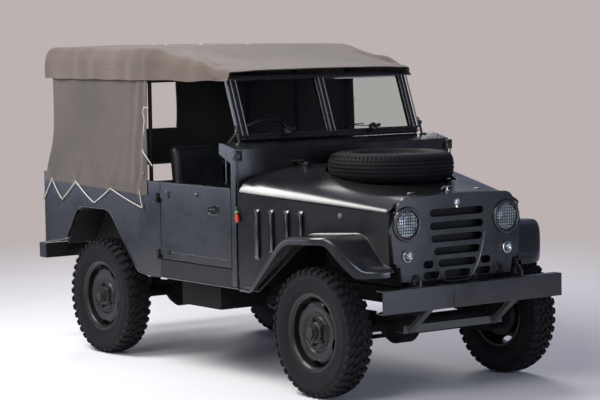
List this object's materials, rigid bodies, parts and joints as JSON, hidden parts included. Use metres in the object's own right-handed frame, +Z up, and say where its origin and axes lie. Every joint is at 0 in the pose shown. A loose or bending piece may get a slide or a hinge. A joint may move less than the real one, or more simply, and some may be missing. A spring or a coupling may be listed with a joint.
{
  "type": "light 4x4 military utility car",
  "caption": "Open-sided light 4x4 utility car with canvas top, half doors, hinged bonnet with a spare tyre on it, tailgate, rolling wheels and linked steering.",
  "frame": {"origin": "middle of the car on the ground, under the middle of its overall box", "axes": "+Z up, -Y towards the front bumper, +X towards the car's left side"},
  "size_m": [1.599, 3.52, 1.9035],
  "materials": {
    "body_paint": "semi-gloss dark green",
    "chassis_paint": "matt black",
    "engine": "dull",
    "exhaust": "oxidised",
    "canvas": "woven, matt",
    "tyre": "matt",
    "glass": "clear",
    "lamp": "polished",
    "vinyl": "black leathercloth",
    "plastic": "black"
  },
  "bodies": {
    "car_body": {"chassis_frame": "chassis_paint", "engine_and_gearbox": "engine", "front_axle": "chassis_paint", "rear_axle": "chassis_paint", "suspension": "chassis_paint", "prop_shafts": "chassis_paint", "exhaust": "exhaust", "fuel_tank": "chassis_paint", "radiator": "chassis_paint", "grille_panel": "body_paint", "front_fenders": "body_paint", "cowl": "body_paint", "floor_pan": "body_paint", "load_floor": "body_paint", "quarter_panels": "body_paint", "wheel_houses": "body_paint", "dashboard": "body_paint", "steering_column": "chassis_paint", "seat_frames": "chassis_paint", "seat_cushions": "vinyl", "rear_benches": "vinyl", "control_levers": "chassis_paint", "windscreen_frame": "body_paint", "windscreen_glass": "glass", "canopy_bows": "chassis_paint", "canvas_roof": "canvas", "canvas_sides": "canvas", "canvas_rear": "canvas", "front_bumper": "body_paint", "front_guard": "body_paint", "rear_bumper": "body_paint", "headlamps": "lamp", "small_lamps": "lamp"},
    "front_right_wheel_body": {"front_right_tyre": "tyre", "front_right_wheel": "body_paint"},
    "front_left_wheel_body": {"front_left_tyre": "tyre", "front_left_wheel": "body_paint"},
    "rear_right_wheel_body": {"rear_right_tyre": "tyre", "rear_right_wheel": "body_paint"},
    "rear_left_wheel_body": {"rear_left_tyre": "tyre", "rear_left_wheel": "body_paint"},
    "right_knuckle_body": {"right_knuckle": "chassis_paint"},
    "left_knuckle_body": {"left_knuckle": "chassis_paint"},
    "tie_rod_body": {"tie_rod": "chassis_paint"},
    "steering_wheel_body": {"steering_wheel": "plastic"},
    "bonnet_body": {"bonnet": "body_paint", "spare_tyre": "tyre", "spare_wheel": "body_paint"},
    "right_door_body": {"right_door": "body_paint"},
    "left_door_body": {"left_door": "body_paint"},
    "tailgate_body": {"tailgate": "body_paint"}
  },
  "joints": [
    {"name": "steering_wheel_turn", "type": "hinge", "parent": "car_body", "child": "steering_wheel_body", "pos_m": [-0.395, -0.279, 1.316], "axis": [0, -0.766, -0.6428], "range_deg": [-540, 540]},
    {"name": "right_kingpin", "type": "hinge", "parent": "car_body", "child": "right_knuckle_body", "pos_m": [-0.563, -1.254, 0.356], "axis": [0, 0, -1], "range_deg": [-30, 30]},
    {"name": "left_kingpin", "type": "hinge", "parent": "car_body", "child": "left_knuckle_body", "pos_m": [0.563, -1.254, 0.356], "axis": [0, 0, -1], "range_deg": [-30, 30]},
    {"name": "tie_rod_pivot", "type": "hinge", "parent": "right_knuckle_body", "child": "tie_rod_body", "pos_m": [-0.563, -1.114, 0.296], "axis": [0, 0, -1], "range_deg": [-30, 30]},
    {"name": "front_right_wheel_spin", "type": "hinge", "parent": "right_knuckle_body", "child": "front_right_wheel_body", "pos_m": [-0.658, -1.254, 0.356], "axis": [1, 0, 0], "continuous": true},
    {"name": "front_left_wheel_spin", "type": "hinge", "parent": "left_knuckle_body", "child": "front_left_wheel_body", "pos_m": [0.658, -1.254, 0.356], "axis": [1, 0, 0], "continuous": true},
    {"name": "rear_right_wheel_spin", "type": "hinge", "parent": "car_body", "child": "rear_right_wheel_body", "pos_m": [-0.658, 0.946, 0.356], "axis": [1, 0, 0], "continuous": true},
    {"name": "rear_left_wheel_spin", "type": "hinge", "parent": "car_body", "child": "rear_left_wheel_body", "pos_m": [0.658, 0.946, 0.356], "axis": [1, 0, 0], "continuous": true},
    {"name": "bonnet_hinge", "type": "hinge", "parent": "car_body", "child": "bonnet_body", "pos_m": [0, -0.639, 1.243], "axis": [-1, 0, 0], "range_deg": [0, 45]},
    {"name": "right_door_hinge", "type": "hinge", "parent": "car_body", "child": "right_door_body", "pos_m": [-0.7885, 0.181, 0.85], "axis": [0, 0, -1], "range_deg": [0, 75]},
    {"name": "left_door_hinge", "type": "hinge", "parent": "car_body", "child": "left_door_body", "pos_m": [0.7885, 0.181, 0.85], "axis": [0, 0, 1], "range_deg": [0, 75]},
    {"name": "tailgate_hinge", "type": "hinge", "parent": "car_body", "child": "tailgate_body", "pos_m": [0, 1.5465, 0.668], "axis": [-1, 0, 0], "range_deg": [0, 90]}
  ],
  "couplings": [
    {"joint": "right_kingpin", "follows": "steering_wheel_turn", "ratio": 0.055556},
    {"joint": "left_kingpin", "follows": "steering_wheel_turn", "ratio": 0.055556},
    {"joint": "tie_rod_pivot", "follows": "steering_wheel_turn", "ratio": -0.055556}
  ]
}
